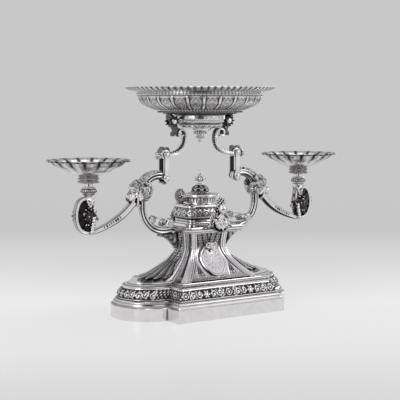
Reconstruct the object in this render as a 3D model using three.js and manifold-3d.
// A silver table centerpiece: a bowl on a two-armed frame, with a side dish on each branch.
// Millimetres, +Z up, origin on the axis at the underside of the base. The arms lie along X.

import * as THREE from 'three';
import { mergeVertices } from 'three/addons/utils/BufferGeometryUtils.js';
import Module from 'manifold-3d';

// Clearances
const GAP = 0.3;          // left between two pieces that touch
const SLIP = 0.5;         // round a spigot that lifts out of its socket

// Base
const BASE = { halfX: 120.6, halfY: 110.4, lobeDepth: 67.6, lobeHalfY: 72 };
const BAND_HEIGHT = 24;
const STEP_HEIGHT = 12;
const FRIEZE_HEIGHT = 21;
const CORNICE_HEIGHT = 9;
const SHEET = 2.6;        // wall of the raised silver shells
const STEP_INSET = 8;
const FRIEZE_INSET = 17;
const CORNICE_INSET = 33;

// Pedestal
const NECK = { halfX: 39, halfY: 31, lobeDepth: 16, lobeHalfY: 15 };
const NECK_HEIGHT = 124;
const PEDESTAL_TOP = 153;
const SHOULDER_FLARE = 9;
const RIB_WIDTH = 11;
const RIB_PROUD = 1.8;
const CARTOUCHE = { halfWidth: 27, bottom: 73, top: 128, rise: 4 };

// Platform
const PLATFORM = { halfX: 69, halfY: 61, notch: 9 };
const PLATFORM_TOP = 166;

// Casket on the platform
const CASKET_HALF_X = 46;
const CASKET_HALF_Y = 34;
const CASKET_CORNER = 14;
const CASKET_WALL = 2.4;
const CASKET_BODY_TOP = 205;
const COLLAR_RADIUS = 34;
const COLLAR_TOP = 221;
const LID_RADIUS = 42;
const LID_THICKNESS = 3;
const DOME_RADIUS = 15.5;
const DOME_HEIGHT = 17;
const FINIAL_TOP = 270;

// Scrolled arms that carry the bowl
const ARM_WIDTH = 16;
const ARM_THICKNESS = 14;
const ARM_MIDDLE = 128;
const ARM_BOTTOM = 158.5;
const ARM_TOP_RADIUS = 33;

// Upright links, swan-neck brackets and their bosses
const LINK_X = 82;
const LINK_WIDTH = 9;
const LINK_THICKNESS = 3.4;
const LINK_PIN_HEIGHT = 257;
const LINK_EYE_RADIUS = 7.5;
const PIN_RADIUS = 3;
const BOSS_HEIGHT = 302;
const STRAP_WIDTH = 20;
const STRAP_THICKNESS = 4;

// Bowl and the cup under it
const PENDANT_BOTTOM = 317;
const CUP_BOTTOM = 346;
const CUP_TOP = 380;
const CUP_RADIUS = 48;
const BOWL_FOOT_RADIUS = 82;
const BOWL_RIM_RADIUS = 143;
const BOWL_RIM_FLARE = 25;
const BOWL_BODY_RADIUS = BOWL_RIM_RADIUS - BOWL_RIM_FLARE;
const BOWL_RIM_HEIGHT = 429;
const BOWL_WALL = 2;
const BOWL_PANELS = 24;

// Branches, loops and side dishes
const DISH_X = 242.6;
const DISH_RADIUS = 77;
const DISH_RIM_HEIGHT = 297;
const DISH_WALL = 1.8;
const DISH_FLUTES = 16;
const SOCKET_BOTTOM = 223;
const SOCKET_TOP = 253;
const SPIGOT_RADIUS = 3.6;
const BRANCH_WIDTH = 13;
const BRANCH_THICKNESS = 11;
const RIBBON_THICKNESS = 4;

// Tie rod inside the pedestal
const ROD_RADIUS = 3;
const NUT_RADIUS = 8;

// Heights that follow from the sizes above
const STEP_TOP = BAND_HEIGHT + STEP_HEIGHT;
const FRIEZE_TOP = STEP_TOP + FRIEZE_HEIGHT;
const CORNICE_TOP = FRIEZE_TOP + CORNICE_HEIGHT;

const SILVER = { color: 0xd9d6d4, roughness: 0.2, metalness: 1 };
const DARK_SILVER = { color: 0x8d8988, roughness: 0.35, metalness: 1 };
const STEEL = { color: 0x9a9a9c, roughness: 0.4, metalness: 1 };

const object = new THREE.Group();

// Geometry helpers

// Merges equal corners, drops flat triangles and turns the faces outwards.
function toSolid(geometry) {
  const bare = new THREE.BufferGeometry();
  bare.setAttribute('position', geometry.getAttribute('position').clone());
  if (geometry.index) {
    bare.setIndex(geometry.index.clone());
  }
  const merged = mergeVertices(bare, 1e-4);
  const position = merged.getAttribute('position');
  const corner = [new THREE.Vector3(), new THREE.Vector3(), new THREE.Vector3()];
  const kept = [];
  let volume = 0;
  for (let i = 0; i < merged.index.count; i += 3) {
    const ids = [0, 1, 2].map((k) => merged.index.getX(i + k));
    if (ids[0] === ids[1] || ids[1] === ids[2] || ids[2] === ids[0]) {
      continue;
    }
    ids.forEach((id, k) => corner[k].fromBufferAttribute(position, id));
    volume += corner[0].dot(corner[1].clone().cross(corner[2])) / 6;
    kept.push(...ids);
  }
  if (volume < 0) {
    for (let i = 0; i < kept.length; i += 3) {
      [kept[i], kept[i + 1]] = [kept[i + 1], kept[i]];
    }
  }
  merged.setIndex(kept);
  return merged;
}

function addPiece(name, geometry, finish) {
  const piece = new THREE.Mesh(toSolid(geometry), new THREE.MeshStandardMaterial(finish));
  piece.name = name;
  object.add(piece);
  return piece;
}

// Adds a piece made for the +X side and its twin turned half round the vertical axis.
function addPair(name, geometry, finish) {
  addPiece(`${name}_right`, geometry, finish);
  addPiece(`${name}_left`, geometry.clone().rotateZ(Math.PI), finish);
}

// Joins rings of equal length into one skin. A cyclic loft returns to its first ring,
// an open one is closed by a strip of faces across each end.
function loft(rings, cyclic = false) {
  const size = rings[0].length;
  const vertices = rings.flat();
  const faces = [];
  const steps = cyclic ? rings.length : rings.length - 1;
  for (let i = 0; i < steps; i += 1) {
    const next = (i + 1) % rings.length;
    for (let j = 0; j < size; j += 1) {
      const k = (j + 1) % size;
      faces.push(i * size + j, i * size + k, next * size + k);
      faces.push(i * size + j, next * size + k, next * size + j);
    }
  }
  if (!cyclic) {
    [[0, true], [rings.length - 1, false]].forEach(([row, flip]) => {
      const addFace = (a, b, c) => faces.push(...(flip ? [b, a, c] : [a, b, c]).map((id) => row * size + id));
      let low = 0;
      let high = size - 1;
      while (high - low > 1) {
        addFace(low, low + 1, high);
        low += 1;
        if (high - low > 1) {
          addFace(low, high - 1, high);
          high -= 1;
        }
      }
    });
  }
  const geometry = new THREE.BufferGeometry().setFromPoints(vertices);
  geometry.setIndex(faces);
  return geometry;
}

// Turns a closed profile of [radius, height] round the vertical axis. The optional shape
// function scales a radius by its angle and height, for flutes, lobes and panels.
function revolve(profile, segments, shape = null) {
  const closed = profile[0][0] === 0 ? profile : [...profile, profile[0]];
  const points = closed.map(([radius, height]) => new THREE.Vector2(radius, height));
  const geometry = new THREE.LatheGeometry(points, segments);
  geometry.rotateX(Math.PI / 2);
  if (shape) {
    const position = geometry.getAttribute('position');
    const row = points.length;
    for (let i = 0; i < position.count; i += 1) {
      const turn = (Math.floor(i / row) % segments) / segments;
      const [scale, lift] = shape(turn * 2 * Math.PI, points[i % row].x, points[i % row].y);
      position.setXYZ(i, position.getX(i) * scale, position.getY(i) * scale, position.getZ(i) + lift);
    }
  }
  return geometry;
}

// A chain of arcs in the XZ plane, each [radius, sweep in degrees]; a radius of zero is a
// straight run of the second number's length. Each frame has its point and its heading.
function arcChain(x, z, headingDegrees, arcs, stepDegrees = 15) {
  let heading = THREE.MathUtils.degToRad(headingDegrees);
  let place = new THREE.Vector3(x, 0, z);
  const frames = [{ point: place.clone(), heading }];
  arcs.forEach(([radius, amount]) => {
    if (radius === 0) {
      place = place.clone().add(new THREE.Vector3(Math.cos(heading), 0, Math.sin(heading)).multiplyScalar(amount));
      frames.push({ point: place.clone(), heading });
      return;
    }
    const count = Math.max(1, Math.round(Math.abs(amount) / stepDegrees));
    const turn = THREE.MathUtils.degToRad(amount) / count;
    const side = Math.sign(amount);
    for (let i = 0; i < count; i += 1) {
      const centre = place.clone().add(
        new THREE.Vector3(-Math.sin(heading), 0, Math.cos(heading)).multiplyScalar(radius * side));
      heading += turn;
      place = centre.add(
        new THREE.Vector3(Math.sin(heading), 0, -Math.cos(heading)).multiplyScalar(radius * side));
      frames.push({ point: place.clone(), heading });
    }
  });
  return frames;
}

// Sweeps a section along the frames of an arc chain. The section's points are [across, out],
// as shares of the half width in Y and of the half thickness in the plane.
function sweep(frames, section, halfWidth, halfThickness) {
  const last = frames.length - 1;
  const rings = frames.map(({ point, heading }, i) => {
    const w = typeof halfWidth === 'function' ? halfWidth(i / last) : halfWidth;
    const t = typeof halfThickness === 'function' ? halfThickness(i / last) : halfThickness;
    const out = new THREE.Vector3(-Math.sin(heading), 0, Math.cos(heading));
    return section.map(([across, rise]) => point.clone()
      .addScaledVector(out, rise * t)
      .add(new THREE.Vector3(0, across * w, 0)));
  });
  return loft(rings);
}

// A section with round shoulders: the superellipse of the given power.
function roundSection(points, power = 2.6) {
  return Array.from({ length: points }, (_, i) => {
    const angle = ((i + 0.5) / points) * 2 * Math.PI;
    const soften = (v) => Math.sign(v) * Math.abs(v) ** (2 / power);
    return [soften(Math.cos(angle)), soften(Math.sin(angle))];
  });
}

// A plate outlined in the XZ plane, centred on the given Y.
function plate(shape, thickness, centreY, curveSegments = 8) {
  const geometry = new THREE.ExtrudeGeometry(shape, { depth: thickness, bevelEnabled: false, curveSegments });
  geometry.rotateX(Math.PI / 2);
  geometry.translate(0, centreY + thickness / 2, 0);
  return geometry;
}

// The outline of the base family at one height: a rectangle with a half-round lobe on each
// short side. Inset moves every side in by the same distance.
const LOBE_STEPS = 6;
function basePlan({ halfX, halfY, lobeDepth, lobeHalfY }, height, inset = 0) {
  const x = halfX - inset;
  const y = halfY - inset;
  const lobeY = lobeHalfY - inset;
  const right = [new THREE.Vector3(x, -y, height)];
  for (let i = 0; i <= LOBE_STEPS; i += 1) {
    const angle = ((i / LOBE_STEPS) - 0.5) * Math.PI;
    right.push(new THREE.Vector3(x + lobeDepth * Math.cos(angle), lobeY * Math.sin(angle), height));
  }
  right.push(new THREE.Vector3(x, y, height));
  const left = right.map((p) => new THREE.Vector3(-p.x, -p.y, p.z));
  return [...right, ...left];
}

// A shell between outer and inner sections of the base family, each [height, inset].
function baseShell(outer, inner) {
  const rings = [...outer, ...inner].map(([height, inset]) => basePlan(BASE, height, inset));
  return loft(rings, true);
}

// Base: plinth band, frieze and cornice, one on the other and open below
const FRIEZE_SEAT = STEP_INSET + 4;
addPiece('plinth', baseShell(
  [[0, 0], [BAND_HEIGHT, 0], [BAND_HEIGHT + 1.5, 3], [BAND_HEIGHT + 7, 4.5],
    [STEP_TOP - 2, STEP_INSET + 1], [STEP_TOP, STEP_INSET + 2]],
  [[STEP_TOP, FRIEZE_SEAT + 5], [STEP_TOP - SHEET, FRIEZE_SEAT + 5], [BAND_HEIGHT + 4, STEP_INSET],
    [BAND_HEIGHT - SHEET, SHEET], [0, SHEET]],
), SILVER);

const friezeRise = [[0, 0], [0.2, -1], [0.5, 0.5], [0.78, 4.5], [1, FRIEZE_INSET - STEP_INSET]];
const friezeOuter = friezeRise.map(([share, inset]) => [STEP_TOP + share * FRIEZE_HEIGHT, FRIEZE_SEAT + inset]);
const friezeInner = friezeOuter.map(([height, inset]) => [height, inset + SHEET + 1]).reverse();
addPiece('frieze', baseShell(friezeOuter, friezeInner), DARK_SILVER);

const FRIEZE_HEAD = FRIEZE_SEAT + FRIEZE_INSET - STEP_INSET;
const CORNICE_OPENING = 52;
addPiece('cornice', baseShell(
  [[FRIEZE_TOP, FRIEZE_HEAD], [FRIEZE_TOP + 2.5, FRIEZE_HEAD - 1], [FRIEZE_TOP + 3, FRIEZE_HEAD + 1.5],
    [CORNICE_TOP - 3.5, CORNICE_INSET - 5], [CORNICE_TOP - 3, CORNICE_INSET - 2.5], [CORNICE_TOP, CORNICE_INSET - 2]],
  [[CORNICE_TOP, CORNICE_OPENING], [CORNICE_TOP - SHEET, CORNICE_OPENING],
    [CORNICE_TOP - SHEET, CORNICE_INSET + 3], [FRIEZE_TOP, FRIEZE_HEAD + SHEET + 2]],
), SILVER);

// Pedestal: a concave body of the base's plan, with raised bands along its four corners
const FOOT = { halfX: 84, halfY: 73, lobeDepth: 54, lobeHalfY: 36 };
const PEDESTAL_BOTTOM = CORNICE_TOP;
const RIB_BEVEL = 1;

function pedestalSizes(height) {
  if (height >= NECK_HEIGHT) {
    const share = (height - NECK_HEIGHT) / (PEDESTAL_TOP - NECK_HEIGHT);
    const flare = SHOULDER_FLARE * share ** 2;
    return {
      halfX: NECK.halfX + flare / 3,
      halfY: NECK.halfY + flare / 3,
      lobeDepth: NECK.lobeDepth,
      lobeHalfY: NECK.lobeHalfY,
    };
  }
  const below = (NECK_HEIGHT - height) / (NECK_HEIGHT - PEDESTAL_BOTTOM);
  const mix = (key, power) => NECK[key] + (FOOT[key] - NECK[key]) * below ** power;
  return {
    halfX: mix('halfX', 1.6),
    halfY: mix('halfY', 1.6),
    lobeDepth: mix('lobeDepth', 3),
    lobeHalfY: mix('lobeHalfY', 1.6),
  };
}

function pedestalPlan(height, inset = 0) {
  const sizes = pedestalSizes(height);
  const ring = basePlan(sizes, height, inset);
  const half = ring.length / 2;
  const x = sizes.halfX - inset;
  const y = sizes.halfY - inset;
  const band = RIB_WIDTH + (sizes.halfX - NECK.halfX) * 0.12;
  const withBands = (side, sign) => {
    const panel = new THREE.Vector3(sign * (x - band - RIB_BEVEL), -sign * (y - RIB_PROUD), height);
    const edge = new THREE.Vector3(sign * (x - band), -sign * y, height);
    const mirror = (p) => new THREE.Vector3(p.x, -p.y, p.z);
    return [panel, edge, ...side, mirror(edge), mirror(panel)];
  };
  return [...withBands(ring.slice(0, half), 1), ...withBands(ring.slice(half), -1)];
}

const PEDESTAL_LEVELS = 9;
const pedestalHeights = Array.from({ length: PEDESTAL_LEVELS }, (_, i) => {
  const share = i / (PEDESTAL_LEVELS - 1);
  return PEDESTAL_BOTTOM + (PEDESTAL_TOP - PEDESTAL_BOTTOM) * share ** 1.35;
});
addPiece('pedestal', loft([
  ...pedestalHeights.map((height) => pedestalPlan(height)),
  ...pedestalHeights.map((height) => pedestalPlan(height, SHEET)).reverse(),
], true), SILVER);

// Outward push of a point on the pedestal's lobe, across its own plan ring
function lobePoint(height, angle, lift) {
  const { halfX, lobeDepth, lobeHalfY } = pedestalSizes(height);
  return new THREE.Vector3(
    halfX + (lobeDepth + lift) * Math.cos(angle),
    (lobeHalfY + lift) * Math.sin(angle),
    height + lift * 0.8);
}

// Acanthus leaf that lies on each lobe, thick along its middle
const LEAF_ANGLES = 9;
const leafHeights = pedestalHeights.filter((height) => height < PEDESTAL_BOTTOM + 34);
addPair('lobe_leaf', loft(leafHeights.map((height, row) => {
  const spread = Math.PI * (0.40 - 0.16 * (row / (leafHeights.length - 1)) ** 2);
  const along = Math.sin(Math.PI * (0.12 + 0.8 * (row / (leafHeights.length - 1))));
  const angles = Array.from({ length: LEAF_ANGLES }, (_, i) => spread * ((2 * i) / (LEAF_ANGLES - 1) - 1));
  const under = angles.map((angle) => lobePoint(height, angle, 2 * GAP));
  const over = angles.map((angle, i) => {
    const flute = i % 2 === 0 ? 1 : 0.62;
    const thick = 1.2 + 4.6 * along * Math.cos((angle / spread) * 1.3) * flute;
    return lobePoint(height, angle, 2 * GAP + thick);
  });
  return [...under, ...over.reverse()];
})), DARK_SILVER);

// Oval cartouche on the front and back: a domed plate that follows the concave face
const CARTOUCHE_ROWS = 9;
const CARTOUCHE_COLUMNS = 7;
function cartouche() {
  const middle = (CARTOUCHE.bottom + CARTOUCHE.top) / 2;
  const halfHeight = (CARTOUCHE.top - CARTOUCHE.bottom) / 2;
  const rings = Array.from({ length: CARTOUCHE_ROWS }, (_, row) => {
    const along = -Math.cos((Math.PI * (row + 0.35)) / (CARTOUCHE_ROWS - 0.3));
    const height = middle + halfHeight * along;
    const reach = CARTOUCHE.halfWidth * Math.sqrt(1 - along * along);
    const face = pedestalSizes(height).halfY - RIB_PROUD + 3 * GAP;
    const chordShare = (height - CARTOUCHE.bottom) / (CARTOUCHE.top - CARTOUCHE.bottom);
    const chord = pedestalSizes(CARTOUCHE.bottom).halfY * (1 - chordShare)
      + pedestalSizes(CARTOUCHE.top).halfY * chordShare;
    const rise = 0.35 * (chord - face) + CARTOUCHE.rise;
    const across = Array.from({ length: CARTOUCHE_COLUMNS }, (_, i) => (2 * i) / (CARTOUCHE_COLUMNS - 1) - 1);
    const back = across.map((share) => new THREE.Vector3(share * reach, -face, height));
    const front = across.slice().reverse().map((share) => {
      const dome = Math.sqrt(Math.max(0, 1 - share * share * 0.9)) * Math.sqrt(1 - along * along * 0.9);
      return new THREE.Vector3(share * reach, -face - 0.8 - rise * dome, height);
    });
    return [...back, ...front];
  });
  return loft(rings);
}
addPiece('cartouche_front', cartouche(), SILVER);
addPiece('cartouche_back', cartouche().rotateZ(Math.PI), SILVER);

// Platform: a moulded tray with notched corners, its lip turned in under the casket
function platformPlan(height, inset) {
  const x = PLATFORM.halfX - inset;
  const y = PLATFORM.halfY - inset;
  const n = PLATFORM.notch;
  const corner = [[x, -y + n], [x - n, -y + n], [x - n, -y]];
  const quarter = (sx, sy, points) => points.map(([px, py]) => new THREE.Vector3(sx * px, sy * py, height));
  const reversed = corner.slice().reverse();
  return [
    ...quarter(1, 1, reversed), ...quarter(1, -1, corner),
    ...quarter(-1, -1, reversed), ...quarter(-1, 1, corner),
  ];
}

// A round ring with as many points as the platform's plan, for the rod hole
function rodHole(height) {
  const points = platformPlan(height, 0).length;
  const radius = (ROD_RADIUS + GAP) / Math.cos(Math.PI / points);
  return Array.from({ length: points }, (_, i) => {
    const angle = ((i + 0.5) / points) * 2 * Math.PI - 0.5 * Math.PI;
    return new THREE.Vector3(radius * Math.cos(angle), radius * Math.sin(angle), height);
  });
}

const PLATFORM_FLOOR = PEDESTAL_TOP + 3;
const PLATFORM_LIP = 36;
addPiece('platform', loft([
  platformPlan(PEDESTAL_TOP, 9), platformPlan(PEDESTAL_TOP + 1.5, 5), platformPlan(PEDESTAL_TOP + 4, 4),
  platformPlan(PEDESTAL_TOP + 4.5, 0), platformPlan(PLATFORM_TOP - 4, 0), platformPlan(PLATFORM_TOP - 3, 2),
  platformPlan(PLATFORM_TOP, 2.5), platformPlan(PLATFORM_TOP, PLATFORM_LIP),
  platformPlan(PLATFORM_TOP - SHEET, PLATFORM_LIP), platformPlan(PLATFORM_TOP - SHEET - 1, 5),
  platformPlan(PLATFORM_FLOOR + 2, 6), platformPlan(PLATFORM_FLOOR, 12),
  rodHole(PLATFORM_FLOOR), rodHole(PEDESTAL_TOP),
], true), SILVER);

// Tie rod that pulls platform, pedestal and cornice together, with its bar and nuts
const BAR = { halfX: 9, halfY: 66, thickness: 4 };
const BAR_TOP = CORNICE_TOP - SHEET - GAP;
const BAR_BOTTOM = BAR_TOP - BAR.thickness;
const NUT_HEIGHT = 5;
const ROD_ENDS_PROUD = 3;
const barOutline = new THREE.Shape()
  .moveTo(-BAR.halfX, -BAR.halfY).lineTo(BAR.halfX, -BAR.halfY)
  .lineTo(BAR.halfX, BAR.halfY).lineTo(-BAR.halfX, BAR.halfY).closePath();
barOutline.holes.push(new THREE.Path().absarc(0, 0, ROD_RADIUS + GAP, 0, 2 * Math.PI, true));
addPiece('rod_bar', new THREE.ExtrudeGeometry(barOutline, { depth: BAR.thickness, bevelEnabled: false })
  .translate(0, 0, BAR_BOTTOM), STEEL);
const rodBottom = BAR_BOTTOM - GAP - NUT_HEIGHT - ROD_ENDS_PROUD;
const rodTop = PLATFORM_FLOOR + GAP + NUT_HEIGHT + 1;
addPiece('tie_rod', revolve([[0, rodBottom], [ROD_RADIUS, rodBottom], [ROD_RADIUS, rodTop], [0, rodTop]], 12), STEEL);
function hexNut(bottom, studRadius) {
  const corners = Array.from({ length: 6 }, (_, i) => new THREE.Vector2(
    NUT_RADIUS * Math.cos((i * Math.PI) / 3), NUT_RADIUS * Math.sin((i * Math.PI) / 3)));
  const outline = new THREE.Shape(corners);
  outline.holes.push(new THREE.Path().absarc(0, 0, studRadius + GAP, 0, 2 * Math.PI, true));
  return new THREE.ExtrudeGeometry(outline, { depth: NUT_HEIGHT, bevelEnabled: false, curveSegments: 8 })
    .translate(0, 0, bottom);
}
addPiece('rod_nut_lower', hexNut(BAR_BOTTOM - GAP - NUT_HEIGHT, ROD_RADIUS), STEEL);
addPiece('rod_nut_upper', hexNut(PLATFORM_FLOOR + GAP, ROD_RADIUS), STEEL);

// Casket on the platform: base block, bulging body, round collar and a lid that lifts off
const CORNER_STEPS = 3;
function casketPlan(height, inset) {
  const r = CASKET_CORNER - inset * 0.5;
  const x = CASKET_HALF_X - inset - r;
  const y = CASKET_HALF_Y - inset - r;
  const corners = [[1, 1, 0], [-1, 1, 1], [-1, -1, 2], [1, -1, 3]];
  return corners.flatMap(([sx, sy, quarter]) => Array.from({ length: CORNER_STEPS + 1 }, (_, i) => {
    const angle = (quarter + i / CORNER_STEPS) * 0.5 * Math.PI;
    return new THREE.Vector3(sx * x + r * Math.cos(angle), sy * y + r * Math.sin(angle), height);
  }));
}

function casketShell(outer, inner) {
  return loft([...outer, ...inner].map(([height, inset]) => casketPlan(height, inset)), true);
}

const CASKET_BOTTOM = PLATFORM_TOP;
const CASKET_WAIST = CASKET_BOTTOM + 13;
addPiece('casket_base', casketShell(
  [[CASKET_BOTTOM, 0], [CASKET_BOTTOM + 2.5, 0], [CASKET_BOTTOM + 3, 2], [CASKET_WAIST - 2, 3], [CASKET_WAIST, 6]],
  [[CASKET_WAIST, 9], [CASKET_WAIST - 3, 6 + CASKET_WALL], [CASKET_BOTTOM, 2 + CASKET_WALL]],
), SILVER);
addPiece('casket_body', casketShell(
  [[CASKET_WAIST, 5], [CASKET_WAIST + 2, 1], [CASKET_WAIST + 6, 0], [CASKET_WAIST + 15, 0.5],
    [CASKET_WAIST + 20, 2.5], [CASKET_WAIST + 21, 0.5], [CASKET_BODY_TOP - 1.5, 0.5], [CASKET_BODY_TOP, 3]],
  [[CASKET_BODY_TOP, 12], [CASKET_BODY_TOP - CASKET_WALL, 12], [CASKET_BODY_TOP - CASKET_WALL - 1, 5],
    [CASKET_WAIST + 15, 0.5 + CASKET_WALL], [CASKET_WAIST + 6, CASKET_WALL], [CASKET_WAIST + 3, 3 + CASKET_WALL],
    [CASKET_WAIST + CASKET_WALL, 12], [CASKET_WAIST, 12]],
), SILVER);

const COLLAR_WALL = 3;
const collarInner = COLLAR_RADIUS - 4 - COLLAR_WALL;
addPiece('casket_collar', revolve([
  [collarInner, CASKET_BODY_TOP], [COLLAR_RADIUS - 2, CASKET_BODY_TOP], [COLLAR_RADIUS - 2, CASKET_BODY_TOP + 3],
  [COLLAR_RADIUS - 4.5, CASKET_BODY_TOP + 5], [COLLAR_RADIUS - 4, COLLAR_TOP - 3],
  [COLLAR_RADIUS - 1, COLLAR_TOP - 1], [COLLAR_RADIUS - 1, COLLAR_TOP], [collarInner, COLLAR_TOP],
], 24), SILVER);

// Lid: a round plate with a locating skirt, and a dome of eight lobes under the finial
const LID_BOTTOM = COLLAR_TOP;
const LID_TOP = LID_BOTTOM + LID_THICKNESS;
const DOME_TOP = LID_TOP + DOME_HEIGHT;
const SKIRT = { radius: collarInner - SLIP, depth: 4, wall: 2 };
const domeLobes = (angle, radius, height) => {
  const onDome = height > LID_TOP + 1 && radius > 5;
  return [onDome ? 1 + 0.07 * Math.abs(Math.sin(4 * angle)) : 1, 0];
};
addPiece('lid', revolve([
  [0, LID_BOTTOM + 1], [SKIRT.radius - SKIRT.wall, LID_BOTTOM + 1],
  [SKIRT.radius - SKIRT.wall, LID_BOTTOM - SKIRT.depth], [SKIRT.radius, LID_BOTTOM - SKIRT.depth],
  [SKIRT.radius, LID_BOTTOM], [LID_RADIUS - 6, LID_BOTTOM], [LID_RADIUS - 5.5, LID_BOTTOM + 1.5],
  [LID_RADIUS - 7, LID_TOP], [26, LID_TOP + 0.8], [19, LID_TOP + 3], [DOME_RADIUS, LID_TOP + 7],
  [DOME_RADIUS, LID_TOP + 10], [DOME_RADIUS - 3, LID_TOP + 14], [DOME_RADIUS - 7.5, DOME_TOP], [0, DOME_TOP],
], 24, domeLobes), SILVER);
const FINIAL_EAR = { x: 9.5, height: DOME_TOP + 12, radius: 3.2 };
const finialBody = revolve([
  [0, DOME_TOP], [7.5, DOME_TOP], [8, DOME_TOP + 1.5], [4, DOME_TOP + 4.5], [4.5, DOME_TOP + 7],
  [8.5, DOME_TOP + 10], [8.5, DOME_TOP + 14], [4, DOME_TOP + 17], [5.5, DOME_TOP + 18.5],
  [4.5, DOME_TOP + 20], [2, FINIAL_TOP - 2.5], [0, FINIAL_TOP],
], 12);

// Solids joined and cut where pieces pass through one another
const wasm = await Module();
wasm.setup();

function toManifold(geometry) {
  const solid = toSolid(geometry);
  const vertProperties = Float32Array.from(solid.getAttribute('position').array);
  const triVerts = Uint32Array.from(solid.index.array);
  return new wasm.Manifold(new wasm.Mesh({ numProp: 3, vertProperties, triVerts }));
}

function fromManifold(solid) {
  const mesh = solid.getMesh();
  const geometry = new THREE.BufferGeometry();
  geometry.setAttribute('position', new THREE.BufferAttribute(Float32Array.from(mesh.vertProperties), 3));
  geometry.setIndex(Array.from(mesh.triVerts));
  return geometry;
}

function join(first, ...others) {
  return fromManifold(others.reduce((sum, other) => sum.add(toManifold(other)), toManifold(first)));
}

function cut(first, ...tools) {
  return fromManifold(tools.reduce((rest, tool) => rest.subtract(toManifold(tool)), toManifold(first)));
}

const ears = [1, -1].map((side) => new THREE.SphereGeometry(FINIAL_EAR.radius, 8, 6)
  .translate(side * FINIAL_EAR.x, 0, FINIAL_EAR.height));
addPiece('finial', join(finialBody, ...ears), SILVER);

// Scroll handle at the casket's -X end
const HANDLE_SECTION = roundSection(8);
addPiece('casket_handle', sweep(
  arcChain(-(COLLAR_RADIUS - 4 + GAP), CASKET_BODY_TOP + 9, 180, [[0, 15], [8, -60], [10, -90], [7, -100], [4.5, -60]], 20),
  HANDLE_SECTION, (t) => 5 - 2 * t, (t) => 3.6 - 2 * t), DARK_SILVER);

// Rolls across the inner ends of the arms, with a leaf that leans towards the casket
const ROLL = { x: 90, height: 175, halfLength: 38, endRadius: 8, waistRadius: 4.5 };
const rollProfile = [
  [0, -ROLL.halfLength], [4, -ROLL.halfLength], [ROLL.endRadius - 1, -ROLL.halfLength + 1.5],
  [ROLL.endRadius, -ROLL.halfLength + 5], [ROLL.endRadius, -ROLL.halfLength + 11],
  [ROLL.waistRadius, -ROLL.halfLength + 16], [ROLL.waistRadius, -10], [7, -8], [8, 0],
];
const wholeRoll = [...rollProfile, ...rollProfile.slice(0, -1).reverse().map(([r, y]) => [r, -y])];
const roll = revolve(wholeRoll, 8).rotateX(Math.PI / 2).translate(ROLL.x, 0, ROLL.height);
const rollLeaves = [1, -1].map((side) => sweep(
  arcChain(ROLL.x - 3, ROLL.height + 4, 110, [[26, 42], [7, -60]], 14),
  roundSection(6), (t) => 6.5 - 3.5 * t, (t) => 2.6 - 1.4 * t)
  .translate(0, side * (ROLL.halfLength - 8), 0));
addPair('end_roll', join(roll, ...rollLeaves), SILVER);

const ARM_STEP = 18;

// Arms: one strap from the platform's end, out and up, to a curl round the link's pin
const ARM_ROOT = PLATFORM.halfX + GAP;
const ARM_ROOT_DIP = { radius: 60, sweep: 15 };
const ARM_CURL_RADIUS = 8;
const dip = THREE.MathUtils.degToRad(ARM_ROOT_DIP.sweep);
const armLowest = ARM_ROOT - 4 + ARM_ROOT_DIP.radius * Math.sin(dip);
const ARM_BOTTOM_RADIUS = ARM_MIDDLE - armLowest;
const ARM_CURL_TOP = LINK_PIN_HEIGHT + ARM_CURL_RADIUS;
const armStraight = ARM_CURL_TOP - ARM_TOP_RADIUS - ARM_BOTTOM_RADIUS - ARM_BOTTOM;
const armFrames = arcChain(ARM_ROOT - 4, ARM_BOTTOM + ARM_ROOT_DIP.radius * (1 - Math.cos(dip)), -ARM_ROOT_DIP.sweep, [
  [ARM_ROOT_DIP.radius, ARM_ROOT_DIP.sweep], [ARM_BOTTOM_RADIUS, 90], [0, armStraight], [ARM_TOP_RADIUS, 90],
  [0, ARM_MIDDLE - ARM_TOP_RADIUS - LINK_X], [ARM_CURL_RADIUS, 180], [5.5, 60],
], ARM_STEP);
const armEnd = armFrames.length - 1;
const curlStart = armEnd - (180 + 60) / ARM_STEP;
const armThickness = (t) => {
  const taper = Math.min(1, Math.max(0, (t * armEnd - curlStart + 2) / 2));
  const curl = Math.max(0, (t * armEnd - curlStart) / (armEnd - curlStart));
  return ARM_THICKNESS / 2 - 3.2 * taper - 1.8 * curl;
};
const armSection = roundSection(10, 3);
const armSweep = (grow) => sweep(armFrames, armSection, ARM_WIDTH / 2 + grow, (t) => armThickness(t) + grow);
const platformSide = new THREE.BoxGeometry(20, 4 * ARM_WIDTH, 4 * ARM_THICKNESS)
  .translate(ARM_ROOT - 10, 0, ARM_BOTTOM);
addPair('arm', cut(armSweep(0), platformSide), SILVER);

// Acanthus leaf laid along the top of each arm, from the mask to the link
const ARM_LEAF = { thickness: 4.6, halfWidth: 9.5, start: 28, sweep: 62, run: 3 };
const leafRadius = ARM_TOP_RADIUS + ARM_THICKNESS / 2 + GAP + ARM_LEAF.thickness / 2;
const leafTurn = THREE.MathUtils.degToRad(ARM_LEAF.start);
addPair('arm_leaf', sweep(
  arcChain(ARM_MIDDLE - ARM_TOP_RADIUS + leafRadius * Math.cos(leafTurn),
    ARM_CURL_TOP - ARM_TOP_RADIUS + leafRadius * Math.sin(leafTurn), 90 + ARM_LEAF.start,
    [[leafRadius, ARM_LEAF.sweep], [0, ARM_LEAF.run]], ARM_STEP / 2),
  [[-1, -0.9], [-0.5, -1], [0, -1], [0.5, -1], [1, -0.9], [0.8, 0.5], [0.35, 0.3], [0, 1], [-0.35, 0.3], [-0.8, 0.5]],
  (t) => ARM_LEAF.halfWidth * (1 - 0.35 * t), (t) => (ARM_LEAF.thickness / 2) * (1 - 0.25 * t ** 2)), SILVER);

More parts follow.
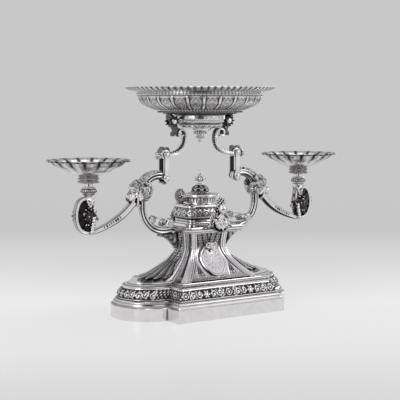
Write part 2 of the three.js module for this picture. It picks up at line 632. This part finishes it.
// Acanthus bracket under each arm, from the neck out to a leaf tip
const BRACKET = { root: 59, tip: 96, drop: 31, tipClearance: 3.5, halfWidth: 13 };
const bracketTipHeight = ARM_BOTTOM - ARM_THICKNESS / 2 - BRACKET.tipClearance;
const bracketDepth = bracketTipHeight - PEDESTAL_TOP + BRACKET.drop;
const bracketStations = [0, 0.08, 0.18, 0.3, 0.45, 0.62, 0.8, 1];
addPair('arm_bracket', loft(bracketStations.map((t) => {
  const x = BRACKET.root + t * (BRACKET.tip - BRACKET.root);
  const low = bracketTipHeight - bracketDepth * (1 - t) ** 2.2;
  const ceiling = x < PLATFORM.halfX + 1 ? PEDESTAL_TOP : ARM_BOTTOM - ARM_THICKNESS / 2;
  const high = Math.max(low + 1.2, Math.min(ceiling - 1.5 * GAP, low + 6 + 26 * Math.sin(Math.PI * Math.min(1, t + 0.2))));
  const half = BRACKET.halfWidth * (0.55 + 0.45 * Math.sin(Math.PI * Math.min(1, 0.15 + t))) * (1 - 0.5 * t ** 3);
  const outline = [[-1, 0.35], [-0.6, 0], [0, -0.12], [0.6, 0], [1, 0.35], [1, 0.8], [0.7, 1], [-0.7, 1], [-1, 0.8]];
  return outline.map(([y, z]) => new THREE.Vector3(x, y * half, low + z * (high - low)));
})), DARK_SILVER);

// Branches: from the mask's mouth down and out, then round a scroll loop under the dish
const MASK = { x: 128, height: 240, pitch: -50, length: 41, neck: 22, halfSide: 23 };
const maskHeading = THREE.MathUtils.degToRad(MASK.pitch);
const maskAxis = new THREE.Vector3(Math.cos(maskHeading), 0, Math.sin(maskHeading));
const maskUp = new THREE.Vector3(-Math.sin(maskHeading), 0, Math.cos(maskHeading));
const branchRoot = new THREE.Vector3(MASK.x, 0, MASK.height).addScaledVector(maskAxis, 30);
const branchArcs = [
  [0, 14], [125, 16], [210, 14], [46, 20], [22, 62], [48, 50], [17, 90], [16, 50], [30, 40], [11, 110], [6, 120],
];
const branchFrames = arcChain(branchRoot.x, branchRoot.z, -46, branchArcs, 22);
const ribbonShare = (t) => Math.min(1, Math.max(0, (t - 0.18) / 0.14));
const branchSweep = (grow) => sweep(branchFrames, roundSection(8, 3),
  (t) => BRANCH_WIDTH / 2 + grow - 3 * Math.max(0, t - 0.7),
  (t) => BRANCH_THICKNESS / 2 + grow
    - (BRANCH_THICKNESS - RIBBON_THICKNESS) / 2 * ribbonShare(t) - 1.2 * Math.max(0, t - 0.7));
addPair('branch', branchSweep(0), SILVER);

// Lion mask on each arm, its jaws round the root of the branch
const MASK_POINTS = 16;
const maskStations = [
  [0, 13, 15, 0], [2, 21, 22, 0], [8, 22.5, 24, 0.12], [14, 18, 21, 0.12], [16.5, 14.5, 16.5, 0],
  [22, 14, 15, 0], [27, 12.5, 13.5, 0], [30, 10.5, 12, 0], [36, 10, 11, 0], [MASK.length, 7.5, 8, 0],
];
const maskHead = loft(maskStations.map(([along, up, side, lobes]) => Array.from({ length: MASK_POINTS }, (_, i) => {
  const angle = (i / MASK_POINTS) * 2 * Math.PI;
  const lobe = 1 + lobes * (i % 2 === 0 ? 1 : -1);
  const brow = along > 20 && along < 28 && Math.sin(angle) > 0.3 ? 1.6 : 0;
  return new THREE.Vector3(MASK.x, 0, MASK.height)
    .addScaledVector(maskAxis, along)
    .addScaledVector(maskUp, (up * lobe + brow) * Math.sin(angle))
    .add(new THREE.Vector3(0, side * lobe * Math.cos(angle), 0));
})));
addPair('lion_mask', cut(maskHead, armSweep(GAP), branchSweep(GAP)), SILVER);

// Links: two cheeks beside each arm's curl, an eye at each end, and the pins through them
const CHEEK_CENTRE_Y = ARM_WIDTH / 2 + GAP + LINK_THICKNESS / 2;
const BOSS_EYE_RADIUS = 6;
const EYE_STEPS = 5;
const eyeAngle = Math.asin(LINK_WIDTH / 2 / LINK_EYE_RADIUS);
const topAngle = Math.asin(LINK_WIDTH / 2 / BOSS_EYE_RADIUS);
const cheekOutline = new THREE.Shape();
cheekOutline.absarc(LINK_X, LINK_PIN_HEIGHT, LINK_EYE_RADIUS, 0.5 * Math.PI + eyeAngle, 2.5 * Math.PI - eyeAngle);
cheekOutline.absarc(LINK_X, BOSS_HEIGHT, BOSS_EYE_RADIUS, -0.5 * Math.PI + topAngle, 1.5 * Math.PI - topAngle);
cheekOutline.closePath();
[LINK_PIN_HEIGHT, BOSS_HEIGHT].forEach((height) => {
  cheekOutline.holes.push(new THREE.Path().absarc(LINK_X, height, PIN_RADIUS + GAP, 0, 2 * Math.PI, true));
});
addPair('cheek_front', plate(cheekOutline, LINK_THICKNESS, -CHEEK_CENTRE_Y, EYE_STEPS), SILVER);
addPair('cheek_back', plate(cheekOutline, LINK_THICKNESS, CHEEK_CENTRE_Y, EYE_STEPS), SILVER);

const PIN_REACH = CHEEK_CENTRE_Y + LINK_THICKNESS / 2 + GAP;
const PIN_HEAD = { radius: 4.6, depth: 1.8 };
function pin(height) {
  const half = [[0, -PIN_REACH - PIN_HEAD.depth], [PIN_HEAD.radius - 1.2, -PIN_REACH - PIN_HEAD.depth],
    [PIN_HEAD.radius, -PIN_REACH - 0.6], [PIN_HEAD.radius, -PIN_REACH], [PIN_RADIUS, -PIN_REACH]];
  return revolve([...half, ...half.slice().reverse().map(([r, y]) => [r, -y])], 8)
    .rotateX(Math.PI / 2).translate(LINK_X, 0, height);
}
addPair('curl_pin', pin(LINK_PIN_HEIGHT), SILVER);
addPair('boss_pin', pin(BOSS_HEIGHT), SILVER);

// Boss: a drum between the cheeks, a leaf cap over it, and the swan-neck strap that it carries
const BOSS = { radius: 10, halfWidth: ARM_WIDTH / 2 };
const drum = revolve([[0, -BOSS.halfWidth], [BOSS.radius - 1, -BOSS.halfWidth], [BOSS.radius, 1 - BOSS.halfWidth],
  [BOSS.radius, BOSS.halfWidth - 1], [BOSS.radius - 1, BOSS.halfWidth], [0, BOSS.halfWidth]], 14)
  .rotateX(Math.PI / 2).translate(LINK_X, 0, BOSS_HEIGHT);
const pinHole = new THREE.CylinderGeometry(PIN_RADIUS + GAP, PIN_RADIUS + GAP, 30, 12)
  .translate(LINK_X, 0, BOSS_HEIGHT);
const neckStart = { x: LINK_X - BOSS.radius + 2, height: BOSS_HEIGHT - 0.5 };
const neckFrames = arcChain(neckStart.x, neckStart.height, 178, [
  [0, 4], [52, -22], [27, -50], [34, -26], [14.8, -34], [8.2, -80], [6.4, -100], [4.6, -110],
], 20);
const neckStrap = sweep(neckFrames, roundSection(8, 4),
  (t) => STRAP_WIDTH / 2 - 1.5 * Math.sin(Math.PI * t),
  (t) => STRAP_THICKNESS / 2 + 0.9 * Math.sin(Math.PI * Math.min(1, t * 1.5)) - 0.9 * Math.max(0, t - 0.7));
const leafCap = sweep(
  arcChain(LINK_X + 9, BOSS_HEIGHT + 5, 100, [[9, 60], [11, 60], [12, 40]], 20),
  roundSection(8), (t) => 4.5 + 7 * Math.sin(Math.PI * Math.min(1, t + 0.15)), (t) => 3.4 - 1.6 * t);
addPair('swan_neck', cut(join(drum, neckStrap, leafCap), pinHole), SILVER);

// Rosette thumb screws on the outer side of each boss; they turn about X
const ROSETTE = { radius: 7.5, thickness: 5, shankRadius: 2.4, petals: 8 };
const ROSETTE_SEAT = LINK_X + BOSS.radius + 3;
const screwProfile = [
  [0, ROSETTE_SEAT - 2.7], [ROSETTE.shankRadius, ROSETTE_SEAT - 2.7], [ROSETTE.shankRadius, ROSETTE_SEAT - 0.5],
  [ROSETTE.radius - 1.5, ROSETTE_SEAT], [ROSETTE.radius, ROSETTE_SEAT + 1.5],
  [ROSETTE.radius - 1, ROSETTE_SEAT + 3.5], [3.6, ROSETTE_SEAT + 4.4], [3.4, ROSETTE_SEAT + ROSETTE.thickness],
  [2.2, ROSETTE_SEAT + ROSETTE.thickness + 2.5], [0, ROSETTE_SEAT + ROSETTE.thickness + 3.4],
];
const petalScale = (angle, radius) => [radius > 4 ? 1 - 0.12 * Math.abs(Math.sin(0.5 * ROSETTE.petals * angle)) : 1, 0];
addPair('thumb_screw', revolve(screwProfile, 16, petalScale)
  .rotateY(Math.PI / 2).translate(0, 0, BOSS_HEIGHT - 1.5), SILVER);

// Cup that the swan necks carry, with the pendant under it and a console on each side
const FLANGE_RADIUS = 71;
addPiece('cup', revolve([
  [SPIGOT_RADIUS, CUP_BOTTOM], [18, CUP_BOTTOM], [22, CUP_BOTTOM + 4], [34, CUP_BOTTOM + 6], [41.5, CUP_BOTTOM + 8.5],
  [42, CUP_BOTTOM + 11], [39.5, CUP_BOTTOM + 13.5], [44, CUP_BOTTOM + 15.5], [44.5, CUP_BOTTOM + 18],
  [CUP_RADIUS - 1.5, CUP_BOTTOM + 20], [CUP_RADIUS, CUP_BOTTOM + 22], [CUP_RADIUS, CUP_TOP - 4],
  [CUP_RADIUS + 5, CUP_TOP - 2.5], [FLANGE_RADIUS, CUP_TOP - 2], [FLANGE_RADIUS, CUP_TOP],
  [CUP_RADIUS - 4, CUP_TOP], [CUP_RADIUS - 6, CUP_BOTTOM + 22], [36, CUP_BOTTOM + 14], [30, CUP_BOTTOM + 9.5],
  [16, CUP_BOTTOM + 6.5], [NUT_RADIUS + 1, CUP_BOTTOM + 3], [SPIGOT_RADIUS, CUP_BOTTOM + 3],
], 24), SILVER);

const PENDANT_STUD = SPIGOT_RADIUS - GAP;
addPiece('pendant', revolve([
  [0, PENDANT_BOTTOM], [1.6, PENDANT_BOTTOM + 1], [2.4, PENDANT_BOTTOM + 4], [1.8, PENDANT_BOTTOM + 6],
  [5.2, PENDANT_BOTTOM + 8], [5.6, PENDANT_BOTTOM + 10], [3.6, PENDANT_BOTTOM + 12], [8.4, PENDANT_BOTTOM + 15],
  [9, PENDANT_BOTTOM + 17], [6, PENDANT_BOTTOM + 19.5], [12.5, PENDANT_BOTTOM + 22.5], [13.2, PENDANT_BOTTOM + 25.5],
  [10, PENDANT_BOTTOM + 27.5], [10, CUP_BOTTOM - GAP], [PENDANT_STUD, CUP_BOTTOM - GAP],
  [PENDANT_STUD, CUP_BOTTOM + 11], [0, CUP_BOTTOM + 11],
], 14), SILVER);
const PENDANT_NUT_SEAT = CUP_BOTTOM + 3 + GAP;
addPiece('pendant_nut', hexNut(PENDANT_NUT_SEAT, PENDANT_STUD), STEEL);

const CONSOLE = { halfWidth: 8, x: CUP_RADIUS + 5.5 };
addPair('cup_console', sweep(
  arcChain(CONSOLE.x + 19, CUP_TOP - 6.7, 186, [[10, 62], [30, 14], [16, -30], [8, 120]], 20),
  roundSection(8), (t) => CONSOLE.halfWidth - 2 * t, (t) => 4.6 - 1.6 * t), DARK_SILVER);

// Bowl: foot, twenty-four panels between ribs, a moulding and a flared scalloped rim
const BOWL_FOOT = CUP_TOP + GAP;
const BOWL_BODY_TOP = BOWL_RIM_HEIGHT - 17;
const SPIGOT_OUTER = CUP_RADIUS - 7.5;
const bowlShape = (angle, radius, height) => {
  const wave = Math.cos(BOWL_PANELS * angle);
  if (radius > BOWL_BODY_RADIUS + 14) {
    return [1 + 0.012 * wave * (radius > BOWL_RIM_RADIUS - 2 ? 1 : 0.4), 0];
  }
  if (radius > BOWL_FOOT_RADIUS + 3 && height > BOWL_FOOT + 7 && height < BOWL_BODY_TOP + 0.5) {
    return [1 + 0.009 * wave, 0];
  }
  return [1, 0];
};
addPiece('bowl', revolve([
  [0, BOWL_FOOT + 3.5], [SPIGOT_OUTER - 2, BOWL_FOOT + 3.5], [SPIGOT_OUTER - 2, BOWL_FOOT - 9],
  [SPIGOT_OUTER, BOWL_FOOT - 9], [SPIGOT_OUTER, BOWL_FOOT], [BOWL_FOOT_RADIUS - 1, BOWL_FOOT],
  [BOWL_FOOT_RADIUS, BOWL_FOOT + 1.5], [BOWL_FOOT_RADIUS - 1, BOWL_FOOT + 3], [BOWL_FOOT_RADIUS + 3, BOWL_FOOT + 6],
  [BOWL_BODY_RADIUS - 15, BOWL_BODY_TOP - 17], [BOWL_BODY_RADIUS - 4, BOWL_BODY_TOP - 10],
  [BOWL_BODY_RADIUS, BOWL_BODY_TOP],
  [BOWL_BODY_RADIUS + 4, BOWL_BODY_TOP + 2], [BOWL_BODY_RADIUS + 4.5, BOWL_BODY_TOP + 5],
  [BOWL_BODY_RADIUS + 3, BOWL_BODY_TOP + 7], [BOWL_BODY_RADIUS + 15, BOWL_RIM_HEIGHT - 8],
  [BOWL_RIM_RADIUS, BOWL_RIM_HEIGHT - BOWL_WALL + 0.5], [BOWL_RIM_RADIUS, BOWL_RIM_HEIGHT],
  [BOWL_BODY_RADIUS + 14.5, BOWL_RIM_HEIGHT - 8 + BOWL_WALL], [BOWL_BODY_RADIUS, BOWL_BODY_TOP + 6],
  [BOWL_BODY_RADIUS - BOWL_WALL - 1, BOWL_BODY_TOP], [BOWL_BODY_RADIUS - 7, BOWL_BODY_TOP - 9.5],
  [BOWL_BODY_RADIUS - 18, BOWL_BODY_TOP - 15.5],
  [BOWL_FOOT_RADIUS - 2, BOWL_FOOT + 8], [40, BOWL_FOOT + 6], [0, BOWL_FOOT + 5.5],
], BOWL_PANELS * 2, bowlShape), SILVER);

// Dish sockets: a turned knop on the top of each loop, bored for the dish's spigot
const loopTop = branchFrames.reduce((top, frame) => Math.max(top, frame.point.z), 0);
const topFrame = branchFrames.find((frame) => frame.point.x > DISH_X - 30 && frame.point.z === loopTop) ?? branchFrames[0];
const SOCKET_SEAT = Math.max(SOCKET_BOTTOM, topFrame.point.z + RIBBON_THICKNESS / 2 + GAP);
const BORE = SPIGOT_RADIUS + SLIP;
addPair('socket', revolve([
  [0, SOCKET_SEAT], [7, SOCKET_SEAT], [9, SOCKET_SEAT + 2.5], [12.5, SOCKET_SEAT + 7], [15, SOCKET_SEAT + 10],
  [15, SOCKET_SEAT + 13], [12, SOCKET_SEAT + 15], [12.5, SOCKET_SEAT + 17], [8, SOCKET_SEAT + 20],
  [7, SOCKET_TOP - 2], [8, SOCKET_TOP - 1], [8, SOCKET_TOP], [BORE, SOCKET_TOP], [BORE, SOCKET_TOP - 16],
  [0, SOCKET_TOP - 16],
], 16).translate(DISH_X, 0, 0), SILVER);

// Side dishes: spigot, two collars, a flared foot and a fluted scalloped bowl
const DISH_BOTTOM = SOCKET_TOP + GAP;
const DISH_FLOOR = DISH_BOTTOM + 21;
const dishShape = (angle, radius, height) => {
  if (radius < 36 || height < DISH_FLOOR) {
    return [1, 0];
  }
  const wave = Math.abs(Math.cos(0.5 * DISH_FLUTES * angle));
  const grow = Math.min(1, (radius - 36) / 30);
  return [1 - 0.05 * (1 - wave) * grow, 0];
};
addPair('dish', revolve([
  [0, SOCKET_TOP - 14], [SPIGOT_RADIUS, SOCKET_TOP - 14], [SPIGOT_RADIUS, DISH_BOTTOM], [10, DISH_BOTTOM],
  [19.5, DISH_BOTTOM + 2.5], [20, DISH_BOTTOM + 4.5], [15.5, DISH_BOTTOM + 6.5], [19, DISH_BOTTOM + 8.5],
  [19.5, DISH_BOTTOM + 10.5], [16, DISH_BOTTOM + 12], [22, DISH_BOTTOM + 15], [35, DISH_BOTTOM + 19],
  [46, DISH_FLOOR + 5], [60, DISH_FLOOR + 11], [68, DISH_FLOOR + 18], [DISH_RADIUS, DISH_RIM_HEIGHT - 1],
  [DISH_RADIUS, DISH_RIM_HEIGHT], [66.5, DISH_RIM_HEIGHT - 2.5], [58, DISH_FLOOR + 11 + DISH_WALL],
  [44, DISH_FLOOR + 5 + DISH_WALL], [34, DISH_FLOOR + 2.5], [0, DISH_FLOOR + 1],
], DISH_FLUTES * 2, dishShape).translate(DISH_X, 0, 0), SILVER);

// Winged busts on the middle of the platform's long sides
const BUST_POINTS = 8;
const bustStations = [
  [157, 6, 3, -64.3], [160, 12, 6, -67.3], [166, 15, 8, -69.3], [174, 14, 8.5, -69.5], [180, 10, 6.5, -68],
  [186, 9, 6, -70], [189, 4.5, 4, -72], [191, 4.6, 4.6, -73.5], [195, 6.4, 7, -74.5], [201, 7.4, 8, -75],
  [206, 7, 7.5, -74], [210, 11, 9, -71.5], [217, 11, 8.5, -69.5], [222, 7, 5.5, -68], [224, 3, 3, -67.5],
];
const bustBody = loft(bustStations.map(([height, halfX, halfY, y]) => Array.from({ length: BUST_POINTS }, (_, i) => {
  const angle = (i / BUST_POINTS) * 2 * Math.PI;
  const clear = -PLATFORM.halfY - GAP;
  const depth = y + halfY * Math.sin(angle);
  const back = height < PLATFORM_TOP + GAP * 2 ? Math.min(depth, clear) : depth;
  return new THREE.Vector3(halfX * Math.cos(angle), back, height);
})));
const wings = [1, -1].map((side) => {
  const frames = arcChain(4, 190, 5, [[12, -60], [26, -30], [7, 100]], 26);
  const wing = sweep(frames, roundSection(8), (t) => 3.4 - 1.2 * t, (t) => 5.5 - 3 * t).translate(0, -67.5, 0);
  return side === 1 ? wing : wing.scale(-1, 1, 1);
});
const bust = join(bustBody, ...wings);
addPiece('bust_front', bust, SILVER);
addPiece('bust_back', bust.clone().rotateZ(Math.PI), SILVER);

export default object;
